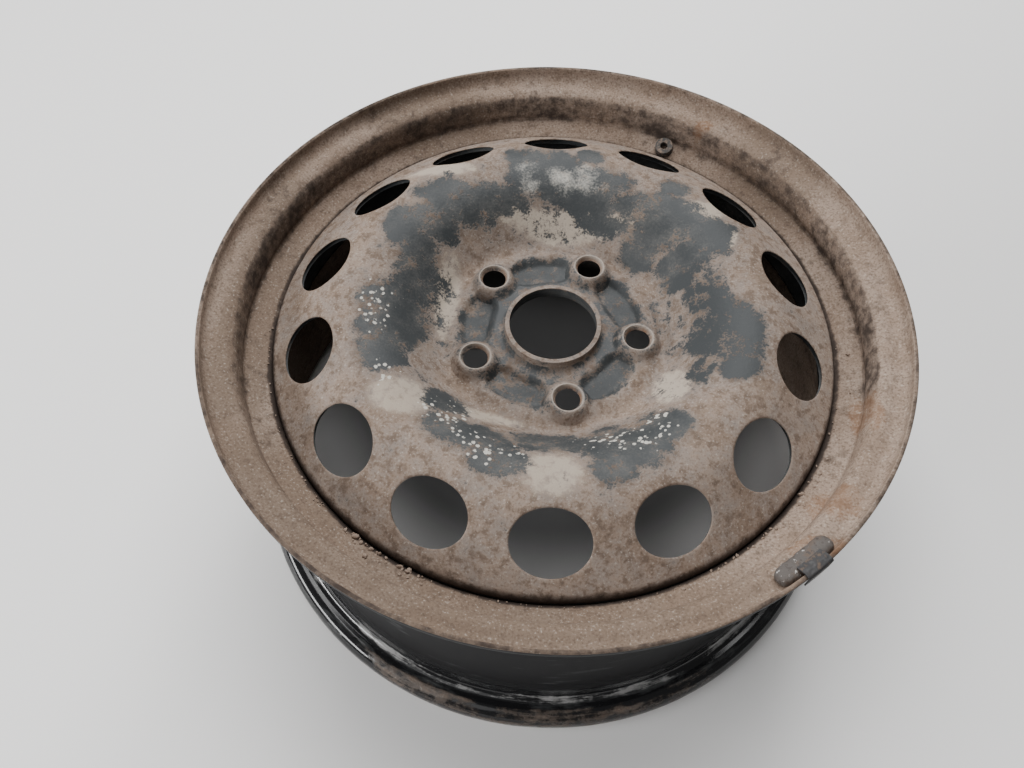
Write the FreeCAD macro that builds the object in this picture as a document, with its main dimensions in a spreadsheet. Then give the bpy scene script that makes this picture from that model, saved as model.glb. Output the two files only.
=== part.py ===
import FreeCAD, Part
import math
import os
import Sketcher

# Pressed steel road wheel, lying on its inboard flange with the outboard face up.
# A rolled hoop carries the tyre, and a pressed disc is pushed into the hoop's well and welded there.
# The wheel's axis is Z, and Z = 0 is the edge of the inboard flange. Sizes are millimetres and degrees.

Vector = FreeCAD.Vector

# Driving dimensions, one cell of the sheet each.
SIZES = {
    # Hoop: a J-flange contour with tapered bead seats and a hump behind each seat.
    "rim_diameter": 405.6,
    "rim_width": 165.1,
    "rim_gauge": 2.5,
    "flange_height": 17.5,
    "flange_overhang": 13.0,
    "flange_curl_radius": 9.5,
    "bead_heel_radius": 6.5,
    "bead_seat_taper": 5.0,
    "hump_distance": 18.5,
    "hump_half_width": 3.6,
    "hump_rise": 0.9,
    "hump_round": 3.5,
    "well_depth": 17.5,
    "well_floor_width": 36.0,
    "well_corner_radius": 4.0,
    "outboard_slope_drop": 6.0,
    "inboard_slope_drop": 15.0,
    "inboard_ledge_depth": 5.5,
    "inboard_ledge_round": 12.0,
    # Disc: hub plate, dome and skirt of one pressing.
    "disc_gauge": 3.8,
    "wheel_offset": 50.0,
    "bore_diameter": 57.1,
    "collar_wall": 2.8,
    "collar_height": 16.2,
    "collar_round": 3.5,
    "hub_ring_rise": 4.6,
    "hub_ring_radius": 66.0,
    "hub_ring_round": 5.0,
    "hub_crease_radius": 74.0,
    "hub_crease_rise": 1.0,
    "hub_crease_round": 7.0,
    "dome_peak_radius": 122.0,
    "dome_round": 42.0,
    "knuckle_radius": 8.0,
    "skirt_length": 23.0,
    "press_gap": 0.1,
    # Oval vents, pierced square to the sloping outer side of the dome.
    "vent_count": 14,
    "vent_circle_radius": 156.1,
    "vent_height": 28.3,
    "vent_slope": 33.8,
    "vent_length": 46.4,
    "vent_width": 39.8,
    "vent_pierce_depth": 30.0,
    "first_vent_angle": -87.0,
    # Bolt bosses: raised cones with a pierced hole and a tapered seat.
    "bolt_count": 5,
    "bolt_circle_diameter": 112.0,
    "bolt_hole_diameter": 15.7,
    "bolt_seat_diameter": 19.3,
    "bolt_seat_depth": 3.2,
    "boss_height": 14.0,
    "boss_top_diameter": 22.4,
    "boss_foot_diameter": 32.0,
    "boss_round": 1.6,
    "boss_land": 5.6,
    "boss_hollow_diameter": 24.0,
    "first_bolt_angle": -76.8,
    # Kidney-shaped pads between the bolts, pressed down to the hub.
    "pad_circle_radius": 51.0,
    "pad_half_width": 10.5,
    "pad_half_angle": 12.5,
    "pad_draft": 30.0,
    "pad_wall": 2.4,
    "pad_round": 3.0,
    # Weld runs between the end of the disc's skirt and the hoop.
    "weld_count": 8,
    "weld_span": 28.0,
    "weld_leg": 4.2,
    "weld_throw": 5.4,
    "weld_bulge": 3.8,
    "first_weld_angle": 12.0,
    # Rubber valve in the outboard slope of the well, its stem cut off short.
    "valve_angle": 67.3,
    "valve_hole_diameter": 11.5,
    "valve_hole_depth": 10.0,
    "valve_neck_gap": 0.1,
    "valve_bore_diameter": 5.6,
    "valve_button_diameter": 15.0,
    "valve_button_chamfer": 2.4,
    "valve_button_height": 5.0,
    "valve_collar_diameter": 13.8,
    "valve_collar_height": 1.6,
    "valve_stub_diameter": 12.8,
    "valve_stub_height": 5.5,
    # Balance weight in the gutter of the outboard flange, held by a spring clip over the lip.
    "weight_angle": 311.6,
    "weight_span": 10.4,
    "weight_gap": 0.15,
    "weight_reach": 11.8,
    "weight_edge": 1.8,
    "weight_bulge": 5.4,
    "weight_end_round": 2.4,
    "clip_width": 18.0,
    "clip_gauge": 0.9,
    "clip_gap": 0.3,
    "clip_tail": 4.6,
    "clip_drop": 8.4,
}

doc = FreeCAD.newDocument("steel_wheel")
sheet = doc.addObject("Spreadsheet::Sheet", "Sizes")
for row, (alias, number) in enumerate(SIZES.items(), start=1):
    sheet.set(f"A{row}", alias)
    sheet.set(f"B{row}", str(number))
    sheet.setAlias(f"B{row}", alias)
doc.recompute()

# Formulas of the sheet that several pieces share.
MIDDLE = "(Sizes.rim_width / 2 + Sizes.flange_overhang)"
LIP_TOP = "(Sizes.rim_width + 2 * Sizes.flange_overhang)"
FACE_OUT = "(Sizes.rim_width + Sizes.flange_overhang)"
FLANGE_R = "(Sizes.rim_diameter / 2 + Sizes.flange_height)"
SEAT_R = "(Sizes.rim_diameter / 2)"
WELL_R = f"({SEAT_R} - Sizes.well_depth)"
FOOT_REACH = "(Sizes.hump_distance - Sizes.hump_half_width)"
FOOT_R = f"({SEAT_R} - {FOOT_REACH} * tan(Sizes.bead_seat_taper))"
SHOULDER_REACH = "(Sizes.hump_distance + Sizes.hump_half_width)"
SHOULDER_R = f"({FOOT_R} - Sizes.hump_rise)"
WELL_TOP = f"({FACE_OUT} - {SHOULDER_REACH} - Sizes.outboard_slope_drop)"
WELL_BOTTOM = f"({WELL_TOP} - Sizes.well_floor_width)"
MOUNT_Z = f"({MIDDLE} + Sizes.wheel_offset)"
PAD_TOP = f"({MOUNT_Z} + Sizes.disc_gauge)"
RING_TOP = f"({PAD_TOP} + Sizes.hub_ring_rise)"
RING_BACK = f"({RING_TOP} - Sizes.disc_gauge)"
BOSS_TOP = f"({MOUNT_Z} + Sizes.boss_height)"
VENT_Z = f"({MOUNT_Z} + Sizes.vent_height)"
SKIRT_R = f"({WELL_R} - Sizes.rim_gauge - Sizes.press_gap)"
KNUCKLE_Z = f"({VENT_Z} - ({SKIRT_R} - Sizes.vent_circle_radius) * tan(Sizes.vent_slope))"
SKIRT_END = f"({KNUCKLE_Z} - Sizes.skirt_length)"


def value(formula):
    """The number that a formula of the sheet gives now."""
    return float(sheet.evalExpression(formula))


def turned(angle, x="0", z="0", tilt="0"):
    """Formula of a placement: out along X and up Z, tilted about Y, then turned about the wheel's axis."""
    return (f"placement(vector(0; 0; 0); rotation(vector(0; 0; 1); {angle})) * "
            f"placement(vector({x}; 0; {z}); rotation(vector(0; 1; 0); {tilt}))")


def set_formula(sketch, index, formula):
    """Binds one dimension of a sketch to a formula of the sheet."""
    sketch.setExpression(f"Constraints[{index}]", formula)


def place_point(sketch, geometry, position, x, y):
    """Dimensions one point of a sketch from the sketch's origin, or ties it to an axis where it lies on it."""
    for kind, axis, formula in (("DistanceX", -2, x), ("DistanceY", -1, y)):
        if formula == "0":
            sketch.addConstraint(Sketcher.Constraint("PointOnObject", geometry, position, axis))
            continue
        index = sketch.addConstraint(
            Sketcher.Constraint(kind, -1, 1, geometry, position, value(formula)))
        set_formula(sketch, index, formula)


def draw_line(sketch, corners, closed=False):
    """Draws straight runs through the corners, with an arc of the given radius at each rounded corner.

    A corner is (x, y) or (x, y, radius), each a formula of the sheet. A rounded corner keeps its sharp point
    as a construction point, so every corner has its own two dimensions and, if rounded, its own radius.
    """
    points = [Vector(value(corner[0]), value(corner[1]), 0) for corner in corners]
    count = len(points)
    runs = count if closed else count - 1
    rounded = [len(corner) == 3 for corner in corners]

    trims = [0.0] * count
    turns = [0.0] * count
    for i in range(count):
        if rounded[i]:
            before = (points[i] - points[i - 1]).normalize()
            after = (points[(i + 1) % count] - points[i]).normalize()
            turns[i] = math.atan2(before.x * after.y - before.y * after.x, before.dot(after))
            trims[i] = value(corners[i][2]) * math.tan(abs(turns[i]) / 2)

    lines = []
    for i in range(runs):
        start, end = points[i], points[(i + 1) % count]
        along = (end - start).normalize()
        segment = Part.LineSegment(start + along * trims[i], end - along * trims[(i + 1) % count])
        lines.append(sketch.addGeometry(segment))

    for i in range(count):
        has_before = closed or i > 0
        has_after = closed or i < count - 1
        x, y = corners[i][0], corners[i][1]
        if not rounded[i]:
            if has_before and has_after:
                sketch.addConstraint(Sketcher.Constraint("Coincident", lines[i - 1], 2, lines[i], 1))
            if has_after:
                place_point(sketch, lines[i], 1, x, y)
            else:
                place_point(sketch, lines[i - 1], 2, x, y)
            continue
        radius = value(corners[i][2])
        before = (points[i] - points[i - 1]).normalize()
        side = math.copysign(1.0, turns[i])
        to_centre = Vector(-before.y, before.x, 0) * side
        centre = points[i] - before * trims[i] + to_centre * radius
        first = math.atan2(-to_centre.y, -to_centre.x)
        last = first + turns[i]
        low, high = min(first, last), max(first, last)
        arc = sketch.addGeometry(Part.ArcOfCircle(Part.Circle(centre, Vector(0, 0, 1), radius), low, high))
        start_of_arc, end_of_arc = (1, 2) if side > 0 else (2, 1)
        sketch.addConstraint(Sketcher.Constraint("Tangent", lines[i - 1], 2, arc, start_of_arc))
        sketch.addConstraint(Sketcher.Constraint("Tangent", arc, end_of_arc, lines[i], 1))
        corner_point = sketch.addGeometry(Part.Point(points[i]), True)
        sketch.addConstraint(Sketcher.Constraint("PointOnObject", corner_point, 1, lines[i - 1]))
        sketch.addConstraint(Sketcher.Constraint("PointOnObject", corner_point, 1, lines[i]))
        place_point(sketch, corner_point, 1, x, y)
        index = sketch.addConstraint(Sketcher.Constraint("Radius", arc, radius))
        set_formula(sketch, index, corners[i][2])


def section_sketch(name, corners, closed=False):
    """A free sketch in the wheel's half plane: sketch X is the radius and sketch Y the height."""
    sketch = doc.addObject("Sketcher::SketchObject", name)
    sketch.Placement = FreeCAD.Placement(Vector(0, 0, 0), FreeCAD.Rotation(Vector(1, 0, 0), 90))
    draw_line(sketch, corners, closed)
    return sketch


def sheet_section(name, sketch, gauge):
    """The strip of sheet metal between a drawn line and its copy one gauge to the side."""
    strip = doc.addObject("Part::Offset2D", name)
    strip.Source = sketch
    strip.Mode = "Skin"
    strip.Join = "Arc"
    strip.Fill = True
    strip.setExpression("Value", gauge)
    return strip


def spun(name, source):
    """A section spun once round the wheel's axis."""
    solid = doc.addObject("Part::Revolution", name)
    solid.Source = source
    solid.Axis = Vector(0, 0, 1)
    solid.Base = Vector(0, 0, 0)
    solid.Angle = 360
    solid.Solid = True
    return solid


def origin_feature(body, role):
    """One of a body's own origin planes or axes."""
    return next(feature for feature in body.Origin.OriginFeatures if feature.Role == role)


def body_sketch(body, name, plane, offset=None):
    """A sketch on one of the body's origin planes, moved from it by a placement formula."""
    sketch = body.newObject("Sketcher::SketchObject", name)
    sketch.AttachmentSupport = [(origin_feature(body, plane), "")]
    sketch.MapMode = "FlatFace"
    if offset:
        sketch.setExpression("AttachmentOffset", offset)
    return sketch


def turn_about_sketch(body, kind, name, sketch):
    """A Revolution or Groove of a sketch round the sketch's own vertical axis."""
    feature = body.newObject(f"PartDesign::{kind}", name)
    feature.Profile = sketch
    feature.ReferenceAxis = (sketch, ["V_Axis"])
    feature.Angle = 360
    return feature


def repeat_round(body, name, feature, count):
    """Copies of a feature evenly round the wheel's axis."""
    pattern = body.newObject("PartDesign::PolarPattern", name)
    pattern.Originals = [feature]
    pattern.Axis = (origin_feature(body, "Z_Axis"), [""])
    pattern.Angle = 360
    pattern.setExpression("Occurrences", count)
    body.Tip = pattern
    return pattern


def radial_plane(angle, x="0"):
    """Offset of an upright sketch: its plane turned to an angle, its origin moved out along the radius."""
    return (f"placement(vector(0; 0; 0); rotation(vector(0; 1; 0); {angle})) * "
            f"placement(vector({x}; 0; 0); rotation(vector(0; 1; 0); 0))")


# Hoop: the tyre-side contour runs from the outboard lip, over the seats and the well, to the inboard lip.

def flange_corners(face, outward):
    """Lip, curl, heel and hump of one flange. Outward is + for the outboard flange and - for the inboard."""
    inward = "-" if outward == "+" else "+"
    lip = LIP_TOP if outward == "+" else "0"
    return [
        (FLANGE_R, lip),
        (FLANGE_R, face, "Sizes.flange_curl_radius"),
        (SEAT_R, face, "Sizes.bead_heel_radius"),
        (FOOT_R, f"{face} {inward} {FOOT_REACH}", "Sizes.hump_round"),
        (f"{FOOT_R} + Sizes.hump_rise", f"{face} {inward} Sizes.hump_distance", "Sizes.hump_round"),
        (SHOULDER_R, f"{face} {inward} {SHOULDER_REACH}", "Sizes.hump_round"),
    ]


well_corners = [
    (WELL_R, WELL_TOP, "Sizes.well_corner_radius"),
    (WELL_R, WELL_BOTTOM, "Sizes.inboard_ledge_round"),
    (f"{SEAT_R} - Sizes.inboard_ledge_depth", f"{WELL_BOTTOM} - Sizes.inboard_slope_drop",
     "Sizes.inboard_ledge_round"),
]
contour = flange_corners(FACE_OUT, "+") + well_corners + flange_corners("Sizes.flange_overhang", "-")[::-1]
rim_contour = section_sketch("rim_contour", contour)
rim_strip = sheet_section("rim_strip", rim_contour, "-Sizes.rim_gauge")
rim_hoop = spun("rim_hoop", rim_strip)

# Valve hole, square to the outboard slope of the well and half way along it.
VALVE_SEAT_R = f"(({SHOULDER_R} + {WELL_R}) / 2)"
VALVE_SEAT_Z = f"({WELL_TOP} + Sizes.outboard_slope_drop / 2)"
VALVE_TILT = f"(-atan2(Sizes.outboard_slope_drop; {SHOULDER_R} - {WELL_R}))"
valve_hole = doc.addObject("Part::Cylinder", "valve_hole")
valve_hole.setExpression("Radius", "Sizes.valve_hole_diameter / 2")
valve_hole.setExpression("Height", "Sizes.valve_hole_depth")
valve_hole.setExpression(
    "Placement",
    turned("Sizes.valve_angle", VALVE_SEAT_R, VALVE_SEAT_Z, VALVE_TILT)
    + " * placement(vector(0; 0; -Sizes.valve_hole_depth / 2); rotation(vector(0; 0; 1); 0))")
rim = doc.addObject("Part::Cut", "rim")
rim.Base = rim_hoop
rim.Tool = valve_hole

# Disc blank: the outboard face runs from the collar of the bore, over hub ring and dome, to the skirt.
COLLAR_R = "(Sizes.bore_diameter / 2 + Sizes.collar_wall)"
PEAK_Z = f"({VENT_Z} + (Sizes.vent_circle_radius - Sizes.dome_peak_radius) * tan(Sizes.vent_slope))"
disc_face = section_sketch("disc_face", [
    (COLLAR_R, f"{MOUNT_Z} + Sizes.collar_height"),
    (COLLAR_R, RING_TOP, "Sizes.collar_round"),
    ("Sizes.hub_ring_radius", RING_TOP, "Sizes.hub_ring_round"),
    ("Sizes.hub_crease_radius", f"{PAD_TOP} + Sizes.hub_crease_rise", "Sizes.hub_crease_round"),
    ("Sizes.dome_peak_radius", PEAK_Z, "Sizes.dome_round"),
    (SKIRT_R, KNUCKLE_Z, "Sizes.knuckle_radius"),
    (SKIRT_R, SKIRT_END),
])
disc_strip = sheet_section("disc_strip", disc_face, "-Sizes.disc_gauge")
disc_blank = spun("disc_blank", disc_strip)

disc = doc.addObject("PartDesign::Body", "disc")
disc.BaseFeature = disc_blank
doc.recompute()

# Pads: each kidney is pressed down from the hub ring, so metal is added below it and taken away above.
PAD_ANGLE = "(Sizes.first_bolt_angle + 180 / Sizes.bolt_count)"


def draw_kidney(sketch, half_width):
    """An arc-shaped slot centred on the sketch's X axis, with round ends."""
    circle_radius = value("Sizes.pad_circle_radius")
    width = value(half_width)
    reach = math.radians(value("Sizes.pad_half_angle"))
    up = Vector(0, 0, 1)
    end_low = Vector(circle_radius * math.cos(reach), -circle_radius * math.sin(reach), 0)
    end_high = Vector(end_low.x, -end_low.y, 0)
    origin = Vector(0, 0, 0)
    outer = sketch.addGeometry(Part.ArcOfCircle(Part.Circle(origin, up, circle_radius + width), -reach, reach))
    inner = sketch.addGeometry(Part.ArcOfCircle(Part.Circle(origin, up, circle_radius - width), -reach, reach))
    high = sketch.addGeometry(Part.ArcOfCircle(Part.Circle(end_high, up, width), reach, reach + math.pi))
    low_start = math.pi - reach
    low = sketch.addGeometry(Part.ArcOfCircle(Part.Circle(end_low, up, width), low_start, low_start + math.pi))
    for arc in (outer, inner):
        sketch.addConstraint(Sketcher.Constraint("Coincident", arc, 3, -1, 1))
    for first, first_end, second, second_end in (
            (outer, 2, high, 1), (high, 2, inner, 2), (inner, 1, low, 1), (low, 2, outer, 1)):
        sketch.addConstraint(Sketcher.Constraint("Tangent", first, first_end, second, second_end))
    index = sketch.addConstraint(Sketcher.Constraint("Radius", outer, circle_radius + width))
    set_formula(sketch, index, f"Sizes.pad_circle_radius + {half_width}")
    index = sketch.addConstraint(Sketcher.Constraint("Radius", inner, circle_radius - width))
    set_formula(sketch, index, f"Sizes.pad_circle_radius - {half_width}")
    half_chord = "Sizes.pad_circle_radius * sin(Sizes.pad_half_angle)"
    index = sketch.addConstraint(Sketcher.Constraint("DistanceY", -1, 1, high, 3, end_high.y))
    set_formula(sketch, index, half_chord)
    index = sketch.addConstraint(Sketcher.Constraint("DistanceY", low, 3, -1, 1, end_high.y))
    set_formula(sketch, index, half_chord)


pad_back_sketch = body_sketch(disc, "pad_back_outline", "XY_Plane", turned(PAD_ANGLE, z=RING_BACK))
draw_kidney(pad_back_sketch, "(Sizes.pad_half_width + Sizes.pad_wall)")
pad_back = disc.newObject("PartDesign::Pad", "pad_back")
pad_back.Profile = pad_back_sketch
pad_back.Reversed = True
pad_back.setExpression("Length", "Sizes.hub_ring_rise")
pad_back.setExpression("TaperAngle", "-Sizes.pad_draft")
repeat_round(disc, "pad_backs", pad_back, "Sizes.bolt_count")

pad_hollow_sketch = body_sketch(disc, "pad_outline", "XY_Plane", turned(PAD_ANGLE, z=RING_TOP))
draw_kidney(pad_hollow_sketch, "Sizes.pad_half_width")
pad_hollow = disc.newObject("PartDesign::Pocket", "pad_hollow")
pad_hollow.Profile = pad_hollow_sketch
pad_hollow.setExpression("Length", "Sizes.hub_ring_rise")
pad_hollow.setExpression("TaperAngle", "-Sizes.pad_draft")
pad_hollows = repeat_round(disc, "pad_hollows", pad_hollow, "Sizes.bolt_count")
doc.recompute()


def level_edges(shape, formula, low_radius, high_radius):
    """Names of a shape's edges that lie level at a height, between two radii from the wheel's axis."""
    height, close = value(formula), 0.01
    names = []
    for number, edge in enumerate(shape.Edges, start=1):
        middle = edge.valueAt((edge.FirstParameter + edge.LastParameter) / 2)
        flat = abs(edge.BoundBox.ZMin - height) < close and abs(edge.BoundBox.ZMax - height) < close
        if flat and value(low_radius) < math.hypot(middle.x, middle.y) < value(high_radius):
            names.append(f"Edge{number}")
    return names


# The pads' upper and lower edges are rounded, as a press tool leaves them.
PAD_INNER_R = "(Sizes.pad_circle_radius - Sizes.pad_half_width - Sizes.pad_wall)"
PAD_OUTER_R = "(Sizes.pad_circle_radius + Sizes.pad_half_width + Sizes.pad_wall)"
pad_rounds = disc.newObject("PartDesign::Fillet", "pad_rounds")
pad_rounds.Base = (pad_hollows, level_edges(pad_hollows.Shape, RING_TOP, PAD_INNER_R, PAD_OUTER_R)
                   + level_edges(pad_hollows.Shape, PAD_TOP, PAD_INNER_R, PAD_OUTER_R))
pad_rounds.setExpression("Radius", "Sizes.pad_round")
disc.Tip = pad_rounds

# Bosses: a cone is raised round each bolt, then hollowed from behind and pierced with its seat.
BOLT_R = "(Sizes.bolt_circle_diameter / 2)"
HOLE_R = "(Sizes.bolt_hole_diameter / 2)"
boss_sketch = body_sketch(disc, "boss_section", "XZ_Plane", radial_plane("Sizes.first_bolt_angle", BOLT_R))
draw_line(boss_sketch, [
    ("0", RING_BACK),
    ("Sizes.boss_foot_diameter / 2", RING_BACK),
    ("Sizes.boss_foot_diameter / 2", RING_TOP),
    ("Sizes.boss_top_diameter / 2", BOSS_TOP, "Sizes.boss_round"),
    ("0", BOSS_TOP),
], closed=True)
boss = turn_about_sketch(disc, "Revolution", "boss", boss_sketch)
repeat_round(disc, "bosses", boss, "Sizes.bolt_count")

bolt_hole_sketch = body_sketch(disc, "bolt_hole_section", "XZ_Plane",
                               radial_plane("Sizes.first_bolt_angle", BOLT_R))
draw_line(bolt_hole_sketch, [
    ("0", MOUNT_Z),
    ("Sizes.boss_hollow_diameter / 2", MOUNT_Z),
    ("Sizes.boss_hollow_diameter / 2", RING_BACK),
    (HOLE_R, f"{BOSS_TOP} - Sizes.boss_land"),
    (HOLE_R, f"{BOSS_TOP} - Sizes.bolt_seat_depth"),
    ("Sizes.bolt_seat_diameter / 2", BOSS_TOP),
    ("0", BOSS_TOP),
], closed=True)
bolt_hole = turn_about_sketch(disc, "Groove", "bolt_hole", bolt_hole_sketch)
repeat_round(disc, "bolt_holes", bolt_hole, "Sizes.bolt_count")

# Bore: pierced through the collar to its finished size.
bore_sketch = body_sketch(disc, "bore_outline", "XY_Plane", turned("0", z=MOUNT_Z))
BORE_R = "Sizes.bore_diameter / 2"
bore_circle = bore_sketch.addGeometry(Part.Circle(Vector(0, 0, 0), Vector(0, 0, 1), value(BORE_R)))
bore_sketch.addConstraint(Sketcher.Constraint("Coincident", bore_circle, 3, -1, 1))
bore_size = bore_sketch.addConstraint(Sketcher.Constraint("Radius", bore_circle, value(BORE_R)))
set_formula(bore_sketch, bore_size, BORE_R)
bore = disc.newObject("PartDesign::Pocket", "bore")
bore.Profile = bore_sketch
bore.Type = "ThroughAll"
bore.Midplane = True
disc.Tip = bore

# Vents: an oval on the slope of the dome, its length along the vent circle.
vent_sketch = body_sketch(
    disc, "vent_outline", "XY_Plane",
    turned("Sizes.first_vent_angle", "Sizes.vent_circle_radius", VENT_Z, "Sizes.vent_slope"))
length_end = Vector(0, value("Sizes.vent_length / 2"), 0)
width_end = Vector(value("Sizes.vent_width / 2"), 0, 0)
oval = vent_sketch.addGeometry(Part.Ellipse(length_end, width_end, Vector(0, 0, 0)))
vent_sketch.exposeInternalGeometry(oval)
long_axis, short_axis = oval + 1, oval + 2
vent_sketch.addConstraint(Sketcher.Constraint("Coincident", oval, 3, -1, 1))
vent_sketch.addConstraint(Sketcher.Constraint("Vertical", long_axis))
for axis, size in ((long_axis, "Sizes.vent_length"), (short_axis, "Sizes.vent_width")):
    index = vent_sketch.addConstraint(Sketcher.Constraint("Distance", axis, value(size)))
    set_formula(vent_sketch, index, size)
vent = disc.newObject("PartDesign::Pocket", "vent")
vent.Profile = vent_sketch
vent.Midplane = True
vent.setExpression("Length", "Sizes.vent_pierce_depth")
repeat_round(disc, "vents", vent, "Sizes.vent_count")

# Weld runs: a fillet with a bulging face in the corner under the skirt's end.
WELD_TOP = f"({SKIRT_END} - Sizes.press_gap)"
weld_section = section_sketch("weld_section", [
    (SKIRT_R, WELD_TOP),
    (f"{SKIRT_R} - Sizes.weld_leg", WELD_TOP),
    (f"{SKIRT_R} - Sizes.weld_leg / 2", f"{WELD_TOP} - Sizes.weld_bulge", "Sizes.weld_leg"),
    (SKIRT_R, f"{WELD_TOP} - Sizes.weld_throw"),
], closed=True)
weld_runs = []
for number in range(int(value("Sizes.weld_count"))):
    run = doc.addObject("Part::Revolution", f"weld_run_{number + 1}")
    run.Source = weld_section
    run.Axis = Vector(0, 0, 1)
    run.Base = Vector(0, 0, 0)
    run.Solid = True
    run.setExpression("Angle", "Sizes.weld_span")
    run.setExpression("Placement", turned(f"Sizes.first_weld_angle + {number} * 360 / Sizes.weld_count"))
    weld_runs.append(run)
weld_beads = doc.addObject("Part::Compound", "weld_beads")
weld_beads.Links = weld_runs

# Valve: rubber button inside the tyre, neck in the hole, collar outside it and the stub of the stem.
valve = doc.addObject("PartDesign::Body", "valve_stub")
NECK_R = "(Sizes.valve_hole_diameter / 2 - Sizes.valve_neck_gap)"
BUTTON_TOP = "(Sizes.valve_button_height - Sizes.valve_neck_gap)"
COLLAR_FOOT = "(Sizes.valve_button_height + Sizes.rim_gauge + Sizes.valve_neck_gap)"
valve_sketch = body_sketch(valve, "valve_section", "XZ_Plane")
draw_line(valve_sketch, [
    ("Sizes.valve_bore_diameter / 2", "0"),
    ("Sizes.valve_button_diameter / 2", "0"),
    ("Sizes.valve_button_diameter / 2", f"{BUTTON_TOP} - Sizes.valve_button_chamfer"),
    ("Sizes.valve_button_diameter / 2 - Sizes.valve_button_chamfer", BUTTON_TOP),
    (NECK_R, BUTTON_TOP),
    (NECK_R, COLLAR_FOOT),
    ("Sizes.valve_collar_diameter / 2", COLLAR_FOOT),
    ("Sizes.valve_collar_diameter / 2", f"{COLLAR_FOOT} + Sizes.valve_collar_height"),
    ("Sizes.valve_stub_diameter / 2", f"{COLLAR_FOOT} + Sizes.valve_stub_height"),
    ("Sizes.valve_bore_diameter / 2", f"{COLLAR_FOOT} + Sizes.valve_stub_height"),
], closed=True)
valve_turned = turn_about_sketch(valve, "Revolution", "valve_rubber", valve_sketch)
valve.Tip = valve_turned
valve.setExpression(
    "Placement",
    turned("Sizes.valve_angle", VALVE_SEAT_R, VALVE_SEAT_Z, VALVE_TILT)
    + " * placement(vector(0; 0; -Sizes.valve_button_height); rotation(vector(0; 0; 1); 0))")

# Balance weight: fills the gutter of the flange, with a rounded outer face and rounded ends.
GUTTER_R = f"({FLANGE_R} - Sizes.rim_gauge - Sizes.weight_gap)"
GUTTER_Z = f"({FACE_OUT} + Sizes.rim_gauge + Sizes.weight_gap)"
GUTTER_ROUND = "(Sizes.flange_curl_radius - Sizes.rim_gauge - Sizes.weight_gap)"
weight = doc.addObject("PartDesign::Body", "balance_weight")
weight_sketch = body_sketch(weight, "weight_section", "XZ_Plane", radial_plane("Sizes.weight_angle"))
draw_line(weight_sketch, [
    (GUTTER_R, f"{LIP_TOP} - Sizes.weight_edge / 2"),
    (GUTTER_R, GUTTER_Z, GUTTER_ROUND),
    (f"{GUTTER_R} - Sizes.weight_reach", GUTTER_Z),
    (f"{GUTTER_R} - Sizes.weight_reach", f"{GUTTER_Z} + Sizes.weight_edge"),
    (f"{GUTTER_R} - Sizes.weight_reach / 2", f"{GUTTER_Z} + Sizes.weight_edge + Sizes.weight_bulge",
     "Sizes.weight_reach"),
], closed=True)
weight_bar = turn_about_sketch(weight, "Revolution", "weight_bar", weight_sketch)
weight_bar.Midplane = True
weight_bar.setExpression("Angle", "Sizes.weight_span")
doc.recompute()

# The bar's ends are cast round, along the arc that bulges over the gutter.
end_arcs = []
for number, edge in enumerate(weight_bar.Shape.Edges, start=1):
    if isinstance(edge.Curve, Part.Circle) and abs(edge.Curve.Radius - value("Sizes.weight_reach")) < 0.01:
        end_arcs.append(f"Edge{number}")
weight_ends = weight.newObject("PartDesign::Fillet", "weight_ends")
weight_ends.Base = (weight_bar, end_arcs)
weight_ends.setExpression("Radius", "Sizes.weight_end_round")
weight.Tip = weight_ends

# Clip: a spring-steel strip from the weight over the lip and down the flange's outer side.
CLIP_R = f"({FLANGE_R} + Sizes.clip_gap)"
CLIP_TOP = f"({LIP_TOP} + Sizes.clip_gap)"
LIP_INNER_R = f"({FLANGE_R} - Sizes.rim_gauge - Sizes.clip_gap)"
clip_line = section_sketch("clip_line", [
    (f"{LIP_INNER_R} - Sizes.clip_tail", f"{CLIP_TOP} - Sizes.clip_tail / 2"),
    (LIP_INNER_R, CLIP_TOP, "Sizes.clip_gauge"),
    (CLIP_R, CLIP_TOP, "Sizes.clip_gauge"),
    (CLIP_R, f"{CLIP_TOP} - Sizes.clip_drop"),
])
clip_strip = sheet_section("clip_strip", clip_line, "Sizes.clip_gauge")
CLIP_SPAN = f"(Sizes.clip_width / {CLIP_R} * 180 / pi)"
clip = doc.addObject("Part::Revolution", "balance_weight_clip")
clip.Source = clip_strip
clip.Axis = Vector(0, 0, 1)
clip.Base = Vector(0, 0, 0)
clip.Solid = True
clip.setExpression("Angle", CLIP_SPAN)
clip.setExpression("Placement", turned(f"(Sizes.weight_angle - {CLIP_SPAN} / 2)"))

doc.recompute()

pieces = [rim, disc, weld_beads, valve, weight, clip]
for item in doc.Objects:
    if "Invalid" in item.State or "Error" in item.State:
        raise RuntimeError(f"{item.Name} failed: {item.State} {item.getStatusString()}")
for piece in pieces:
    if piece.Shape.isNull() or not piece.Shape.isValid():
        raise RuntimeError(f"{piece.Label} has no valid shape")

os.makedirs("parts", exist_ok=True)
for piece in pieces:
    piece.Shape.exportStep(f"parts/{piece.Label}.step")
    print(piece.Label, len(piece.Shape.Solids), "solids,", round(piece.Shape.Volume / 1000, 2), "cubic cm")
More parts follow.
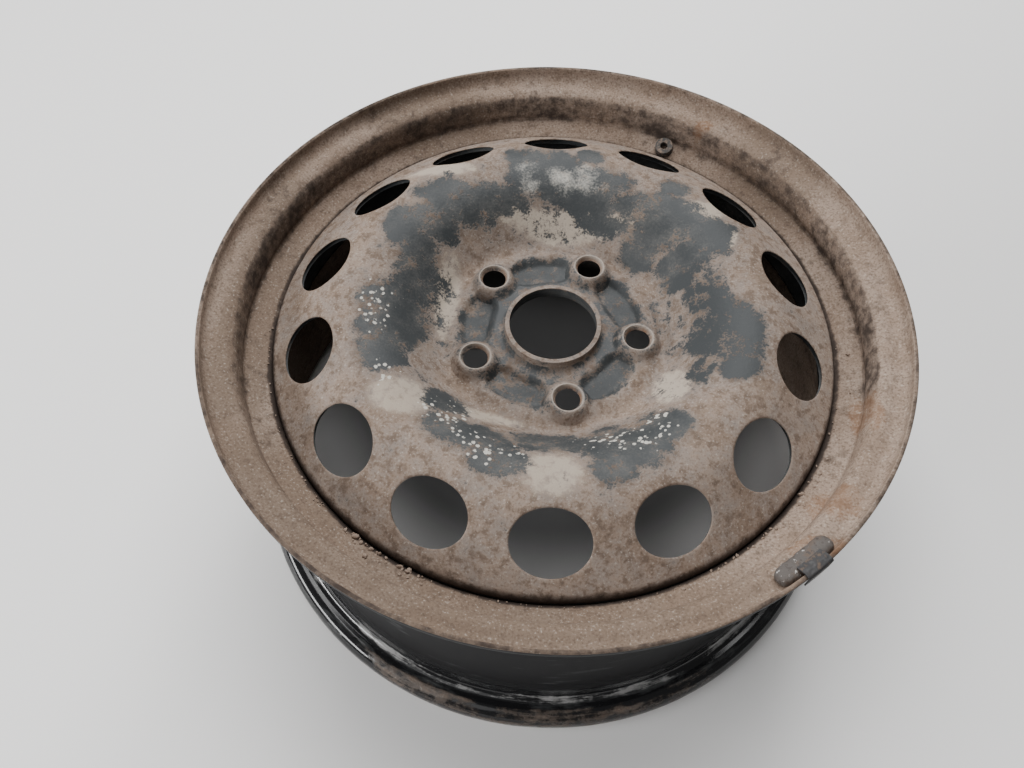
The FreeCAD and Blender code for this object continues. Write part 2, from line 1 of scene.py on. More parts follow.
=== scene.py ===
import bpy
import numpy as np
from mathutils import Matrix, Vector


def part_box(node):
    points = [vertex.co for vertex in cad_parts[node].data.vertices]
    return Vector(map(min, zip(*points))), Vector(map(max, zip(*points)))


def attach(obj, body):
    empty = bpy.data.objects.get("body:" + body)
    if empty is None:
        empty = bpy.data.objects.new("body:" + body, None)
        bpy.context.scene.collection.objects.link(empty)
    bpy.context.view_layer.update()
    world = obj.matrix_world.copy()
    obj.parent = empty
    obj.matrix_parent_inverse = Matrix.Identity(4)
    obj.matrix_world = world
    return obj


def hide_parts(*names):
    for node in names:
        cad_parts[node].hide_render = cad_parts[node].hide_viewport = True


# A worn pressed-steel car wheel, lying with its outboard face up. Lengths are metres and the axis is Z.
# Every shape is a section or a height over the wheel's plan, so angles are always round the axis.
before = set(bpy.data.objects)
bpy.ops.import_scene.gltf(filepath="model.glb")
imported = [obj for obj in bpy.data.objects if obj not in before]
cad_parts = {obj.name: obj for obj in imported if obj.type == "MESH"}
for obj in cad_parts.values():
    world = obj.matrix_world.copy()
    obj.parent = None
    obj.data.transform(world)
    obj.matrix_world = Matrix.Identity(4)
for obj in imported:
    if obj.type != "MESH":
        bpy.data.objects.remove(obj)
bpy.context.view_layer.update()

# Rim: a steel strip rolled into a hoop and butt-welded, with a flange, a bead seat and a hump at each end.
# It is drawn as the tyre-side contour of its section, with the sheet's gauge on the axis side.
# The side that faces out carries dried road dirt, with painted shade in its wall and groove; the tyre side is
# still black paint, rubbed at the beads.
FLANGE_R, _, LIP_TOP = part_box("rim")[1]
RIM_GAUGE = 0.0025
END_ROUND = 0.3 * RIM_GAUGE
SEAT_R = FLANGE_R - 0.0175
WELL_R = SEAT_R - 0.0175
FLANGE_OVERHANG = 0.013
CURL_BEND, HEEL_BEND = 0.0095, 0.0065
HUMP_R = SEAT_R - 0.0013
HUMP_REACH, HUMP_HALF, HUMP_RISE, HUMP_BEND = 0.0185, 0.0036, 0.0009, 0.0035
SHOULDER_R, SHOULDER_LENGTH = HUMP_R - HUMP_RISE, 0.006
WELL_TOP = LIP_TOP - FLANGE_OVERHANG - HUMP_REACH - HUMP_HALF - SHOULDER_LENGTH
WELL_FLOOR, WELL_SLOPE, WELL_SLOPE_TOP_R = 0.036, 0.015, SEAT_R - 0.0055
WELL_EDGE_BEND, WELL_BEND = 0.004, 0.012
RIM_TURNS, RIM_ARC_STEP, RIM_RUN_STEP = 400, 0.0012, 0.006


def rounded_path(corners, arc_step, run_step):
    """Points along straight runs through (x, z, radius) corners, each turned by an arc of its radius."""
    corners = np.array(corners, float)
    points, radii = corners[:, :2], corners[:, 2]
    runs = np.diff(points, axis=0)
    runs /= np.linalg.norm(runs, axis=1)[:, None]
    pieces = [points[:1]]
    for point, radius, into, out in zip(points[1:-1], radii[1:-1], runs[:-1], runs[1:]):
        turn = np.arctan2(into[0] * out[1] - into[1] * out[0], into @ out)
        to_centre = np.array([-into[1], into[0]]) * np.sign(turn) * radius
        centre = point - into * radius * np.tan(abs(turn) / 2) + to_centre
        count = max(2, int(np.ceil(radius * abs(turn) / arc_step)) + 1)
        angle = np.arctan2(-to_centre[1], -to_centre[0]) + np.linspace(0, turn, count)
        pieces.append(centre + radius * np.c_[np.cos(angle), np.sin(angle)])
    pieces.append(points[-1:])
    bends = np.concatenate(pieces)
    gaps = np.linalg.norm(np.diff(bends, axis=0), axis=1)
    filled = [bends[:1]]
    for start, end, gap in zip(bends[:-1], bends[1:], gaps):
        steps = max(1, int(np.ceil(gap / run_step)))
        filled.append(start + (end - start) * (np.arange(1, steps + 1) / steps)[:, None])
    return np.concatenate(filled)


def sheet_loop(path, gauge, cap_points=5):
    """Closed outline of a sheet: the path, a rounded end, the path moved one gauge to its left, an end."""
    along = np.gradient(path, axis=0)
    along /= np.linalg.norm(along, axis=1)[:, None]
    left = np.c_[-along[:, 1], along[:, 0]]
    other = path + left * gauge
    swing = np.linspace(0, np.pi, cap_points + 2)[1:-1, None]

    def cap(near, far, outward):
        """Half an oval from near to far: half the gauge one way, the end's round the other."""
        middle, half = (near + far) / 2, (near - far) / 2
        return middle + half * np.cos(swing) + outward * np.sin(swing) * END_ROUND

    return np.concatenate([path, cap(path[-1], other[-1], along[-1]), other[::-1],
                           cap(other[0], path[0], -along[0])])


def mesh_piece(name, vertices, faces):
    """A smooth mesh object in the scene from arrays of vertices and of faces."""
    mesh = bpy.data.meshes.new(name)
    mesh.from_pydata(vertices.tolist(), [], faces.tolist())
    mesh.shade_smooth()
    piece = bpy.data.objects.new(name, mesh)
    bpy.context.scene.collection.objects.link(piece)
    return piece


def grid_piece(name, points, wrap_rows, wrap_columns):
    """A mesh object over a grid of points (rows, columns, xyz), closed round either way if asked."""
    rows, columns = points.shape[:2]
    number = np.arange(rows * columns).reshape(rows, columns)
    next_row = np.roll(number, -1, axis=0)
    next_column = np.roll(number, -1, axis=1)
    corner = np.roll(next_row, -1, axis=1)
    quads = np.stack([number, next_row, corner, next_column], axis=-1)
    quads = quads[:rows if wrap_rows else rows - 1, :columns if wrap_columns else columns - 1]
    return mesh_piece(name, points.reshape(-1, 3), quads.reshape(-1, 4))


def spun(section, angles):
    """The section's (radius, height) points carried round the axis: rows are angles, columns the section."""
    radius, height = section[:, 0], section[:, 1]
    return np.stack([np.cos(angles)[:, None] * radius, np.sin(angles)[:, None] * radius,
                     np.broadcast_to(height, (len(angles), len(height)))], axis=-1)


def flange_corners(face, lip, outward):
    """Lip, curl, bead heel and hump of one flange, from its lip inwards."""
    return [(FLANGE_R, lip - outward * END_ROUND, 0), (FLANGE_R, face, CURL_BEND), (SEAT_R, face, HEEL_BEND),
            (HUMP_R, face - outward * (HUMP_REACH - HUMP_HALF), HUMP_BEND),
            (HUMP_R + HUMP_RISE, face - outward * HUMP_REACH, HUMP_BEND),
            (SHOULDER_R, face - outward * (HUMP_REACH + HUMP_HALF), HUMP_BEND)]


upper_flange = flange_corners(LIP_TOP - FLANGE_OVERHANG, LIP_TOP, 1)
lower_flange = flange_corners(FLANGE_OVERHANG, 0.0, -1)
well = [(WELL_R, WELL_TOP, WELL_EDGE_BEND), (WELL_R, WELL_TOP - WELL_FLOOR, WELL_BEND),
        (WELL_SLOPE_TOP_R, WELL_TOP - WELL_FLOOR - WELL_SLOPE, WELL_BEND)]
contour = rounded_path(upper_flange + well + lower_flange[::-1], RIM_ARC_STEP, RIM_RUN_STEP)[::-1]
rim_section = sheet_loop(contour, RIM_GAUGE)
rim_turns = np.linspace(0, 2 * np.pi, RIM_TURNS, endpoint=False)
rim = grid_piece("rim_hoop", spun(rim_section, rim_turns), True, True)
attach(rim, "root")
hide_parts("rim")

# What lies on the hoop, and the shade painted on it. Ovals are (x, y, half width, half height) in millimetres
# of plan;
# the rest are radii and heights where the wall of the flange, the ledge under it, the groove by the disc and
# the lips begin.
# Stains are dark dirt on the flange; the long oval at (190, -20) darkens the right ledge as painted shade.
FLANGE_STAINS_AND_SHADE = [(60, 200, 40, 8), (112, 176, 26, 16), (155, 140, 22, 20), (-50, 205, 40, 7),
                 (-128, 160, 34, 16), (-195, 60, 10, 30), (130, -160, 26, 10), (206, 30, 8, 34),
                 (190, -20, 9, 60)]
RUST_SHOWS = [(192, -55, 6, 18), (165, -118, 12, 14), (100, 178, 7, 5), (150, -150, 16, 8)]
BROWN_SHOWS = [(0, -205, 150, 60), (-192, -20, 15, 120), (-150, -150, 50, 50), (-110, 175, 60, 24),
               (150, 140, 30, 40)]
WALL_R, WALL_FOOT = SEAT_R + 0.0007, 0.155
LEDGE_EDGE_R = HUMP_R
GROOVE_R = WELL_R + 0.0032
OUTBOARD_Z, DUSTY_Z = 0.14, 0.135
LIP_BAND, LIP_EDGE = 0.003, 0.0012
LOW_FLANGE_Z, GLOSS_Z, LOW_LIP_BAND = 0.02, 0.032, 0.013
HEEL_INSET, HEEL_REACH = 0.002, 0.0085
NEAR_Y = -0.12


def coordinates(piece):
    """The piece's vertices as an array."""
    flat = np.empty(len(piece.data.vertices) * 3)
    piece.data.vertices.foreach_get("co", flat)
    return flat.reshape(-1, 3)


def paint_attribute(piece, name, amounts):
    """Stores a number or a vector per vertex for a material to read."""
    amounts = np.asarray(amounts, np.float32)
    vectors = amounts.ndim == 2
    attribute = piece.data.attributes.new(name, "FLOAT_VECTOR" if vectors else "FLOAT", "POINT")
    attribute.data.foreach_set("vector" if vectors else "value", amounts.ravel())


def rise(amount):
    """Smooth step: 0 below 0, 1 above 1, and an S curve between."""
    held = np.clip(amount, 0, 1)
    return held * held * (3 - 2 * held)


def above(values, start, soft):
    """0 up to start, then a smooth rise to 1 over the soft width."""
    return rise((values - start) / soft)


def below(values, start, soft):
    """0 down to start, then a smooth rise to 1 as the values fall by the soft width."""
    return rise((start - values) / soft)


def soft_spots(points, spots):
    """The strongest of the oval spots at each point: 1 well inside, 0.65 on a spot's edge, 0 well outside."""
    strongest = np.zeros(len(points))
    for x, y, wide, high in np.array(spots) / 1000:
        far = np.hypot((points[:, 0] - x) / wide, (points[:, 1] - y) / high)
        strongest = np.maximum(strongest, rise(1.6 - far))
    return strongest


rim_points = coordinates(rim)
rim_r = np.hypot(rim_points[:, 0], rim_points[:, 1])
rim_y, rim_z = rim_points[:, 1], rim_points[:, 2]
out_face = np.tile(np.arange(len(rim_section)) >= len(contour), RIM_TURNS).astype(float)
tyre_side = 1 - out_face
outboard = rim_z > OUTBOARD_Z
# Painted shade: the flange's wall, most on the far side, its ledge and the groove by the disc are darkened for
# shade.
wall_shade = out_face * below(rim_r, WALL_R, 0.002) * above(rim_z, WALL_FOOT, 0.004)
wall_shade *= 0.4 + 0.6 * above(rim_y, NEAR_Y, 0.1)
groove_shade = out_face * below(rim_r, GROOVE_R, 0.004) * outboard
on_ledge = out_face * below(rim_r, LEDGE_EDGE_R, 0.003) * outboard * (1 - wall_shade)
on_edge = above(rim_r, FLANGE_R - LIP_BAND, 0.001) * above(rim_z, LIP_TOP - LIP_EDGE, 0.001)
stains_and_shade = out_face * soft_spots(rim_points, FLANGE_STAINS_AND_SHADE)
low_flange = tyre_side * below(rim_z, LOW_FLANGE_Z, 0.006)
low_lip = low_flange * above(rim_r, FLANGE_R - LOW_LIP_BAND, 0.005) * below(rim_y, NEAR_Y, 0.08)
from_heel = np.hypot(rim_r - SEAT_R - HEEL_INSET, rim_z - FLANGE_OVERHANG - HEEL_INSET)
bead = tyre_side * below(from_heel, HEEL_REACH, 0.008)
paint_attribute(rim, "grime_and_shade", np.maximum.reduce([0.62 * wall_shade, 0.32 * on_ledge, 0.9 * groove_shade,
                                                 0.65 * on_edge, 0.4 * stains_and_shade]))
paint_attribute(rim, "dust", np.maximum.reduce([out_face * above(rim_z, DUSTY_Z, 0.01), on_edge,
                                                0.7 * out_face, 0.43 * low_lip]))
paint_attribute(rim, "rust", out_face * outboard * soft_spots(rim_points, RUST_SHOWS))
paint_attribute(rim, "brown", soft_spots(rim_points, BROWN_SHOWS))
paint_attribute(rim, "gloss", tyre_side * below(rim_z, GLOSS_Z, 0.012))
paint_attribute(rim, "bead_wear", np.maximum(bead, 0.36 * low_flange))

# A place on the sheet for torn streaks: the run along the section, and the turn round a drum so thin that
# a noise over it stretches along the hoop.
DRUM_R = 0.03
section_run = np.r_[0, np.cumsum(np.linalg.norm(np.diff(rim_section, axis=0), axis=1))]
drum = np.c_[np.full(len(rim_section), DRUM_R), section_run]
paint_attribute(rim, "streak_place", spun(drum, rim_turns).reshape(-1, 3))


def shader(name):
    """A new material with its node tree and its surface shader."""
    material = bpy.data.materials.new(name)
    material.use_nodes = True
    return material, material.node_tree, material.node_tree.nodes["Principled BSDF"]


def put(tree, kind, inputs, **settings):
    """Adds a node with its settings; an input that is a socket is linked and any other is set."""
    node = tree.nodes.new(kind)
    for name, setting in settings.items():
        setattr(node, name, setting)
    for name, source in inputs.items():
        if isinstance(source, bpy.types.NodeSocket):
            tree.links.new(source, node.inputs[name])
        else:
            node.inputs[name].default_value = source
    return node


def object_place(tree):
    """The place on the piece, in metres from the wheel's origin."""
    return put(tree, "ShaderNodeTexCoord", {}).outputs["Object"]


def noise(tree, size, detail=4.0, rough=0.55, place=None):
    """Noise over the object, or over another place socket, with blotches of about this size in metres."""
    return put(tree, "ShaderNodeTexNoise", {"Vector": place or object_place(tree), "Scale": 1 / size,
                                            "Detail": detail, "Roughness": rough}).outputs["Fac"]


def calc(tree, operation, first, second):
    """One sum of the Math node."""
    return put(tree, "ShaderNodeMath", {0: first, 1: second}, operation=operation).outputs[0]


def swung(tree, base, *swings):
    """The base amount moved up and down by noises, each given as (noise, amount) about the noise's middle."""
    for amount, strength in swings:
        middle = put(tree, "ShaderNodeMath", {0: amount, 1: strength, 2: -strength / 2},
                     operation="MULTIPLY_ADD").outputs[0]
        base = calc(tree, "ADD", base, middle)
    return base


def between(tree, amount, low, high):
    """A smooth step from 0 where amount is at low to 1 where it is at high."""
    return put(tree, "ShaderNodeMapRange", {"Value": amount, "From Min": low, "From Max": high},
               interpolation_type="SMOOTHSTEP").outputs[0]


def ranged(tree, amount, start, end):
    """A number that goes from start to end as amount goes from 0 to 1."""
    return put(tree, "ShaderNodeMapRange", {"Value": amount, "To Min": start, "To Max": end}).outputs[0]


def mixed(tree, amount, first, second):
    """The first colour turning to the second as amount goes from 0 to 1."""
    return put(tree, "ShaderNodeMix", {0: amount, 6: first, 7: second}, data_type="RGBA").outputs[2]


def tinted(tree, colour, tint, amount, strength):
    """The colour with a tint laid on by amount, never stronger than strength."""
    return mixed(tree, calc(tree, "MULTIPLY", amount, strength), colour, tint)


def painted(tree, name):
    """One of the piece's own painted amounts."""
    return put(tree, "ShaderNodeAttribute", {}, attribute_name=name).outputs["Fac"]


def finish_surface(tree, surface, colour, roughness, height, depth):
    """Gives the surface its colour and roughness, and a bump of this depth from a height between 0 and 1."""
    tree.links.new(colour, surface.inputs["Base Color"])
    tree.links.new(roughness, surface.inputs["Roughness"])
    bump = put(tree, "ShaderNodeBump", {"Height": height, "Distance": depth, "Strength": 1.0})
    tree.links.new(bump.outputs["Normal"], surface.inputs["Normal"])


def coat(piece, material):
    """Gives the piece this material and no other."""
    piece.data.materials.clear()
    piece.data.materials.append(material)


BLACK_PAINT = (0.012, 0.012, 0.013, 1)
GREY_PAINT = (0.06, 0.062, 0.063, 1)
DIRT = (0.235, 0.172, 0.131, 1)
DARK_DIRT = (0.105, 0.075, 0.057, 1)
PALE_DIRT = (0.305, 0.234, 0.186, 1)
BROWN_DIRT = (0.135, 0.097, 0.07, 1)
SPECK = (0.42, 0.37, 0.32, 1)
GRIME_AND_SHADE = (0.05, 0.038, 0.032, 1)
RUST = (0.2, 0.1, 0.05, 1)
RUBBED_STEEL = (0.3, 0.295, 0.29, 1)
DIRT_RELIEF = 0.0005

rim_material, tree, surface = shader("rim_dirt_and_painted_shade_over_paint")
grain = noise(tree, 0.0014, 3.0)
spots = noise(tree, 0.007, 5.0, 0.65)
blotches = noise(tree, 0.035, 4.0, 0.6)
on_sheet = put(tree, "ShaderNodeAttribute", {}, attribute_name="streak_place").outputs["Vector"]
streaks = noise(tree, 0.006, 5.0, 0.65, on_sheet)
dirt_and_painted_light = mixed(tree, between(tree, blotches, 0.36, 0.64), DIRT, PALE_DIRT)
browner = swung(tree, painted(tree, "brown"), (blotches, 2.0))
dirt_and_painted_light = tinted(tree, dirt_and_painted_light, BROWN_DIRT, between(tree, browner, 0.0, 1.1), 0.55)
dirt_and_painted_light = tinted(tree, dirt_and_painted_light, DARK_DIRT, between(tree, spots, 0.5, 0.72), 0.6)
dirt_and_painted_light = tinted(tree, dirt_and_painted_light, DARK_DIRT, between(tree, grain, 0.48, 0.7), 0.7)
dirt_and_painted_light = tinted(tree, dirt_and_painted_light, SPECK, between(tree, grain, 0.42, 0.27), 0.65)
# Painted shade: the near-black brown darkens the wall, ledge and groove for shade, and the lip edges and
# stains as dirt.
grime_and_shade_amount = swung(tree, painted(tree, "grime_and_shade"), (spots, 0.9), (blotches, 0.8))
dirt_and_painted_light = mixed(tree, between(tree, grime_and_shade_amount, 0.35, 0.9), dirt_and_painted_light, GRIME_AND_SHADE)
rusty = swung(tree, painted(tree, "rust"), (spots, 2.0), (grain, 0.8))
dirt_and_painted_light = tinted(tree, dirt_and_painted_light, RUST, between(tree, rusty, 0.5, 1.2), 0.45)
gloss = painted(tree, "gloss")
scuffs = swung(tree, calc(tree, "MULTIPLY", gloss, 0.08), (streaks, 1.0), (blotches, 0.4))
paint = mixed(tree, between(tree, scuffs, 0.08, 0.26), BLACK_PAINT, GREY_PAINT)
worn = swung(tree, painted(tree, "bead_wear"), (streaks, 2.8), (spots, 0.8))
paint = mixed(tree, between(tree, worn, 0.95, 1.35), paint, RUBBED_STEEL)
held = swung(tree, painted(tree, "dust"), (spots, 0.35), (streaks, 0.6))
cover = between(tree, held, 0.36, 0.6)
roughness = ranged(tree, cover, ranged(tree, gloss, 0.5, 0.13), 0.85)
relief = calc(tree, "MULTIPLY", swung(tree, spots, (grain, 0.4)), cover)
tree.links.new(ranged(tree, gloss, 0.12, 0.5), surface.inputs["Specular IOR Level"])
finish_surface(tree, surface, mixed(tree, cover, paint, dirt_and_painted_light), roughness, relief, DIRT_RELIEF)
coat(rim, rim_material)

# Disc: a steel blank pressed in one piece, painted blue-grey and welded into the well by its skirt.
# It has the bore's collar, the hub plate with bosses and sunk pads, the vented dome and the skirt.
# It is a height over the plan, laid on polar rings, with a ring of quads round each bolt hole and each vent.
OFFSET = 0.05
MOUNT_Z = LIP_TOP / 2 + OFFSET
DISC_GAUGE = 0.0038
PAD_TOP = MOUNT_Z + DISC_GAUGE
RING_TOP = PAD_TOP + 0.0046
BOSS_TOP, BOSS_FOOT_R, BOSS_FLANK = MOUNT_Z + 0.014, 0.0165, 0.006
COLLAR_R, COLLAR_WALL, COLLAR_TOP = 0.03135, 0.0028, MOUNT_Z + 0.0162
BOLT_COUNT, BOLT_CIRCLE_R, FIRST_BOLT = 5, 0.056, np.radians(-76.8)
HOLE_R, SEAT_EDGE_R, SEAT_DEPTH = 0.00785, 0.00965, 0.0032
PAD_CIRCLE_R, PAD_REACH = 0.051, np.radians(12.5)
PAD_HALF_WIDTH, PAD_FLANK = 0.0118, 0.0046
RING_EDGE_R, HUB_CREASE_R, HUB_CREASE_RISE = 0.066, 0.074, 0.001
VENT_COUNT, VENT_CIRCLE_R, FIRST_VENT = 14, 0.1561, np.radians(-87.0)
VENT_SLOPE = np.radians(33.8)
VENT_HALF_LENGTH, VENT_HALF_WIDTH = 0.0232, 0.0199 * np.cos(VENT_SLOPE)
VENT_EDGE_ROLL = (0.0008, 0.0003, 0.00008)
VENT_Z = MOUNT_Z + 0.0283
DOME_R = 0.122
DOME_Z = VENT_Z + (VENT_CIRCLE_R - DOME_R) * np.tan(VENT_SLOPE)
SKIRT_R, SKIRT_DEPTH = WELL_R - RIM_GAUGE - 0.0001, 0.023
KNUCKLE_Z = VENT_Z - (SKIRT_R - VENT_CIRCLE_R) * np.tan(VENT_SLOPE)
COLLAR_BEND, RING_BEND, CREASE_BEND, DOME_BEND, KNUCKLE_BEND = 0.0035, 0.005, 0.007, 0.042, 0.008

disc_face = rounded_path([
    (COLLAR_R, COLLAR_TOP, 0), (COLLAR_R, RING_TOP, COLLAR_BEND), (RING_EDGE_R, RING_TOP, RING_BEND),
    (HUB_CREASE_R, PAD_TOP + HUB_CREASE_RISE, CREASE_BEND), (DOME_R, DOME_Z, DOME_BEND),
    (SKIRT_R, KNUCKLE_Z, KNUCKLE_BEND), (SKIRT_R, KNUCKLE_Z - SKIRT_DEPTH, 0)], 0.0008, 0.002)


def around(angle, first, count):
    """The angle from the nearest of count marks that stand evenly round the axis, one of them at first."""
    half = np.pi / count
    return (angle - first + half) % (2 * half) - half


def bolt_distance(x, y):
    """Distance in plan from the nearest bolt's axis."""
    radius, angle = np.hypot(x, y), around(np.arctan2(y, x), FIRST_BOLT, BOLT_COUNT)
    return np.hypot(radius * np.cos(angle) - BOLT_CIRCLE_R, radius * np.sin(angle))


def pad_distance(x, y):
    """Distance in plan from the middle line of the nearest pad, an arc between two bolts."""
    radius = np.hypot(x, y)
    angle = around(np.arctan2(y, x), FIRST_BOLT + np.pi / BOLT_COUNT, BOLT_COUNT)
    past_end = angle - np.clip(angle, -PAD_REACH, PAD_REACH)
    return np.hypot(radius * np.cos(past_end) - PAD_CIRCLE_R, radius * np.sin(past_end))


def giving_way(base, other, share):
    """The base amount where share is 0, the other where it is 1, and a straight blend between."""
    return base * (1 - share) + other * share


def face_height(x, y):
    """Height of the outboard face: the spun section, less the pads' sinking, plus bosses with coned seats."""
    height = np.interp(np.hypot(x, y), disc_face[:, 0], disc_face[:, 1])
    sunk = (RING_TOP - PAD_TOP) * below(pad_distance(x, y), PAD_HALF_WIDTH, PAD_FLANK)
    from_bolt = bolt_distance(x, y)
    height = giving_way(height - sunk, BOSS_TOP, below(from_bolt, BOSS_FOOT_R, BOSS_FLANK))
    return height - SEAT_DEPTH * np.clip((SEAT_EDGE_R - from_bolt) / (SEAT_EDGE_R - HOLE_R), 0, 1)


def sector_rim(inner_r, outer_r, half_angle, arc_steps, side_steps):
    """Plan points round one sector, anticlockwise, in radius and angle from the sector's middle."""
    sweep = np.linspace(-half_angle, half_angle, arc_steps + 1)
    climb = np.linspace(inner_r, outer_r, side_steps + 1)
    radius = np.concatenate([climb, np.full(arc_steps - 1, outer_r), climb[::-1],
                             np.full(arc_steps - 1, inner_r)])
    angle = np.concatenate([np.full(side_steps + 1, -half_angle), sweep[1:-1],
                            np.full(side_steps + 1, half_angle), sweep[::-1][1:-1]])
    return radius, angle


def holed_sector(centre_r, half_sizes, border, offsets, steps):
    """Plan points of a sector with an oval hole: rings at offsets from its edge, then on to the border."""
    radius, angle = border
    out_x, out_y = radius * np.cos(angle), radius * np.sin(angle)
    swing = np.arctan2(out_y / half_sizes[1], (out_x - centre_r) / half_sizes[0])
    in_x, in_y = centre_r + half_sizes[0] * np.cos(swing), half_sizes[1] * np.sin(swing)
    reach = np.hypot(out_x - in_x, out_y - in_y)
    near = np.array(offsets)[:, None] / reach
    share = np.concatenate([near, near[-1] + (1 - near[-1]) * (np.arange(1, steps + 1) / steps)[:, None]])
    return in_x + (out_x - in_x) * share, in_y + (out_y - in_y) * share


def turned_round(x, y, first, count):
    """Copies of plan points at count even angles, the first turned to the angle first."""
    angle = first + np.arange(count)[:, None, None] * 2 * np.pi / count
    return x * np.cos(angle) - y * np.sin(angle), x * np.sin(angle) + y * np.cos(angle)


def ring_faces(start, rows, columns):
    """Quads of a grid of vertices numbered from start, closed round its columns."""
    number = start + np.arange(rows * columns).reshape(rows, columns)
    after = np.roll(number, -1, axis=1)
    return np.stack([number[:-1], number[1:], after[1:], after[:-1]], axis=-1).reshape(-1, 4)


# The disc's mesh: rings from the collar out to the skirt, which share a count of turns. They twist a little
# over the dome, so that the sectors round the bolts and the sectors round the vents both start on a turn.
DISC_TURNS, DOME_RINGS = 420, 22
HUB_INNER_R, HUB_OUTER_R, HUB_SIDE_STEPS, HUB_OUT_STEPS = 0.0375, 0.0745, 20, 4
VENT_INNER_R, VENT_OUTER_R, VENT_SIDE_STEPS, VENT_OUT_STEPS = 0.133, 0.1775, 18, 5
BOLT_RINGS = (0, 0.0009, 0.0018, 0.0022, 0.0028, 0.004, 0.0052, 0.0066, 0.0083)
VENT_RINGS = (0, 0.0003, 0.0008, 0.0015, 0.003)
RING_GAP = 0.0005
hub_phase = FIRST_BOLT + np.pi / BOLT_COUNT
vent_phase = FIRST_VENT + np.pi / VENT_COUNT
disc_step = 2 * np.pi / DISC_TURNS
twist = (vent_phase - hub_phase + disc_step / 2) % disc_step - disc_step / 2
round_hub = hub_phase + np.arange(DISC_TURNS) * disc_step
vertices, faces = [], []


def add_patch(points):
    """Adds one closed ring of points (rows, columns, xyz) to the disc's mesh."""
    start = sum(len(part) for part in vertices)
    faces.append(ring_faces(start, *points.shape[:2]))
    vertices.append(points.reshape(-1, 3))


collar = disc_face[disc_face[:, 0] < HUB_INNER_R - RING_GAP]
collar = np.concatenate([collar, [(HUB_INNER_R, RING_TOP)]])
add_patch(np.swapaxes(spun(collar, round_hub), 0, 1))

hub_border = sector_rim(HUB_INNER_R, HUB_OUTER_R, np.pi / BOLT_COUNT, DISC_TURNS // BOLT_COUNT,
                        HUB_SIDE_STEPS)
hub_plan = holed_sector(BOLT_CIRCLE_R, (HOLE_R, HOLE_R), hub_border, BOLT_RINGS, HUB_OUT_STEPS)
for x, y in zip(*turned_round(*hub_plan, FIRST_BOLT, BOLT_COUNT)):
    add_patch(np.stack([x, y, face_height(x, y)], axis=-1))

dome_r = np.linspace(HUB_OUTER_R, VENT_INNER_R, DOME_RINGS)[:, None]
dome_angle = round_hub + np.linspace(0, twist, DOME_RINGS)[:, None]
x, y = dome_r * np.cos(dome_angle), dome_r * np.sin(dome_angle)
add_patch(np.stack([x, y, face_height(x, y)], axis=-1))

vent_border = sector_rim(VENT_INNER_R, VENT_OUTER_R, np.pi / VENT_COUNT, DISC_TURNS // VENT_COUNT,
                         VENT_SIDE_STEPS)
vent_plan = holed_sector(VENT_CIRCLE_R, (VENT_HALF_WIDTH, VENT_HALF_LENGTH), vent_border, VENT_RINGS,
                         VENT_OUT_STEPS)
edge_drop = np.zeros((len(vent_plan[0]), 1))
edge_drop[:len(VENT_EDGE_ROLL), 0] = VENT_EDGE_ROLL
for x, y in zip(*turned_round(*vent_plan, FIRST_VENT, VENT_COUNT)):
    add_patch(np.stack([x, y, face_height(x, y) - edge_drop], axis=-1))

skirt = disc_face[disc_face[:, 0] > VENT_OUTER_R + RING_GAP]
skirt = np.concatenate([[(VENT_OUTER_R, np.interp(VENT_OUTER_R, disc_face[:, 0], disc_face[:, 1]))], skirt])
add_patch(np.swapaxes(spun(skirt, round_hub + twist), 0, 1))

# The face becomes a sheet: patches joined, then the gauge added below, thinner at the drawn-up collar.
disc = mesh_piece("pressed_disc", np.concatenate(vertices), np.concatenate(faces))
plan_r = np.hypot(*coordinates(disc)[:, :2].T)
gauge_share = disc.vertex_groups.new(name="gauge_share")
gauge_share.add(range(len(plan_r)), 1.0, "REPLACE")
gauge_share.add(np.flatnonzero(plan_r < COLLAR_R + RING_GAP).tolist(), COLLAR_WALL / DISC_GAUGE, "REPLACE")
join = disc.modifiers.new("join", "WELD")
join.merge_threshold = 0.00002
sheet = disc.modifiers.new("sheet", "SOLIDIFY")
sheet.thickness = DISC_GAUGE
sheet.offset = -1
sheet.vertex_group = "gauge_share"
shaped = bpy.data.meshes.new_from_object(disc.evaluated_get(bpy.context.evaluated_depsgraph_get()))
disc.modifiers.clear()
disc.vertex_groups.clear()
disc.data = shaped
disc.data.set_sharp_from_angle(angle=np.radians(40))
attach(disc, "root")
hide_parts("disc")

# Where the dirt has come off the disc's paint, and where it is chalky, pale or thin, as ovals like the rim's;
# two white ovals at the top of the dome are a painted reflection, and the wide pale one on the far flank is
# painted light.
# Closer to the axis the dust follows the plate, its pads and its bosses.
PAINT_SHOWS = [(-15, 116, 26, 22), (18, 106, 26, 16), (18, 132, 10, 9), (-38, 128, 6, 9), (-70, 84, 30, 16),
               (-46, 92, 24, 10), (-106, 58, 13, 16), (-92, 30, 14, 26), (-98, -12, 18, 26),
               (-112, -8, 13, 14), (-104, -46, 15, 14), (-60, -71, 13, 11), (-56, -92, 16, 10),
               (-36, -98, 20, 13), (-24, -114, 18, 10), (6, -92, 30, 11), (46, -94, 26, 19),
               (68, -80, 18, 14), (40, -113, 14, 11), (108, -12, 21, 26), (114, -38, 13, 10), (92, -36, 8, 10),
               (42, 88, 28, 11), (72, 78, 28, 18), (98, 68, 16, 15), (78, 107, 11, 8), (84, 48, 16, 16),
               (-86, 66, 18, 14), (56, 68, 14, 14), (-104, -28, 16, 16), (96, 24, 12, 14), (60, 90, 20, 12)]
CHALK_SHOWS = [(-112, -12, 11, 20), (-58, -82, 15, 12), (-44, -99, 12, 6), (-25, -110, 18, 9),
               (48, -90, 24, 10), (70, -74, 10, 8), (-100, -62, 10, 8)]
